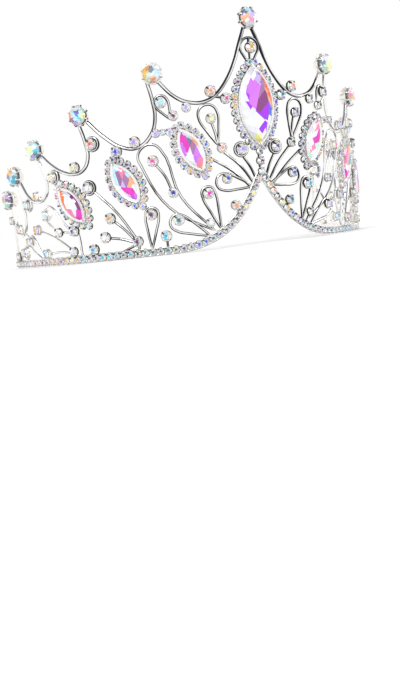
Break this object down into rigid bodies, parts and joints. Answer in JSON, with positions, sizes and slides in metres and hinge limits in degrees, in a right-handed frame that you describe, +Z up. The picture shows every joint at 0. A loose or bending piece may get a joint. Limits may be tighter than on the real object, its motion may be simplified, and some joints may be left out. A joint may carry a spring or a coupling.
{
  "type": "pageant crown",
  "caption": "Tall open-backed pageant crown of soldered silver wire scrolls with peaks, haloed pointed oval stones and a base chain of crystals.",
  "frame": {"origin": "middle of the bounding box's base, on the surface that the crown rests on", "axes": "+Z up, the front faces -Y, the wearer's right is at -X"},
  "size_m": [0.1594, 0.1013, 0.0906],
  "materials": {
    "silver_metal": "bright silver plating over soldered wire",
    "tip_crystal": "faceted glass with an iridescent coat and a foil back",
    "oval_crystal": "faceted glass with an iridescent violet coat and a foil back",
    "small_crystal": "small faceted glass stones with an iridescent coat"
  },
  "bodies": {
    "root": {"frame": "silver_metal", "front_tip_stone": "tip_crystal", "right_tip_stone_1": "tip_crystal", "right_tip_stone_2": "tip_crystal", "right_tip_stone_3": "tip_crystal", "right_tip_stone_4": "tip_crystal", "right_tip_stone_5": "tip_crystal", "left_tip_stone_1": "tip_crystal", "left_tip_stone_2": "tip_crystal", "left_tip_stone_3": "tip_crystal", "left_tip_stone_4": "tip_crystal", "left_tip_stone_5": "tip_crystal", "front_oval_stone": "oval_crystal", "right_oval_stone_1": "oval_crystal", "right_oval_stone_2": "oval_crystal", "right_oval_stone_3": "oval_crystal", "left_oval_stone_1": "oval_crystal", "left_oval_stone_2": "oval_crystal", "left_oval_stone_3": "oval_crystal", "right_scallop_stone_1": "small_crystal", "right_scallop_stone_2": "small_crystal", "right_scallop_stone_3": "small_crystal", "right_scallop_stone_4": "small_crystal", "right_scallop_stone_5": "small_crystal", "left_scallop_stone_1": "small_crystal", "left_scallop_stone_2": "small_crystal", "left_scallop_stone_3": "small_crystal", "left_scallop_stone_4": "small_crystal", "left_scallop_stone_5": "small_crystal", "front_accent_stones": "small_crystal", "right_accent_stones": "small_crystal", "left_accent_stones": "small_crystal", "right_chain_stones": "small_crystal", "left_chain_stones": "small_crystal"}
  },
  "joints": []
}
